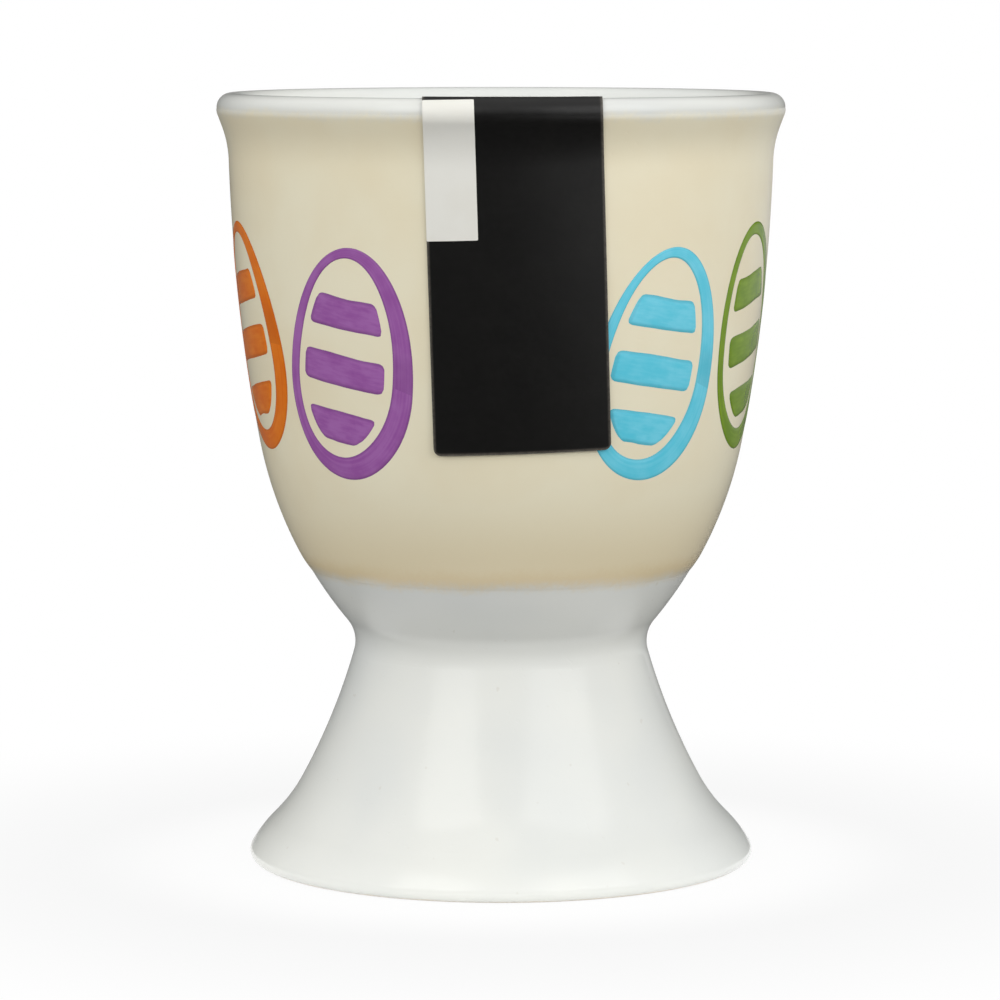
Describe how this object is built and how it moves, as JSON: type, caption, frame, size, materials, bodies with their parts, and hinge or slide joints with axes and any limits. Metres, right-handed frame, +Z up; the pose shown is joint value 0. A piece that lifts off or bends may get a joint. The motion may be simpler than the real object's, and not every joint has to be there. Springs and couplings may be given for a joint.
{
  "type": "egg cup",
  "caption": "Footed porcelain egg cup with a flared lip, a hollow pedestal foot, a cream glaze band, coloured striped-egg transfers and a blank paper label folded over the rim.",
  "frame": {"origin": "centre of the foot ring, on the table", "axes": "+Z up along the cup's axis, -Y towards the paper label, +X to the right as seen from the label's side"},
  "size_m": [0.048, 0.0481, 0.0651],
  "materials": {
    "porcelain": "clear gloss glaze over white porcelain",
    "joint_slip": "clear gloss glaze over white porcelain",
    "cream_glaze": "gloss",
    "blue_enamel": "gloss",
    "green_enamel": "gloss",
    "pink_enamel": "gloss",
    "orange_enamel": "gloss",
    "purple_enamel": "gloss",
    "black_paper": "satin coated paper",
    "white_ink": "satin coated paper"
  },
  "bodies": {
    "root": {"bowl": "porcelain", "foot": "porcelain", "slip_joint": "joint_slip", "cream_glaze_band": "cream_glaze", "blue_transfers": "blue_enamel", "green_transfers": "green_enamel", "pink_transfers": "pink_enamel", "orange_transfers": "orange_enamel", "purple_transfers": "purple_enamel", "label": "black_paper", "label_panel": "white_ink"}
  },
  "joints": []
}
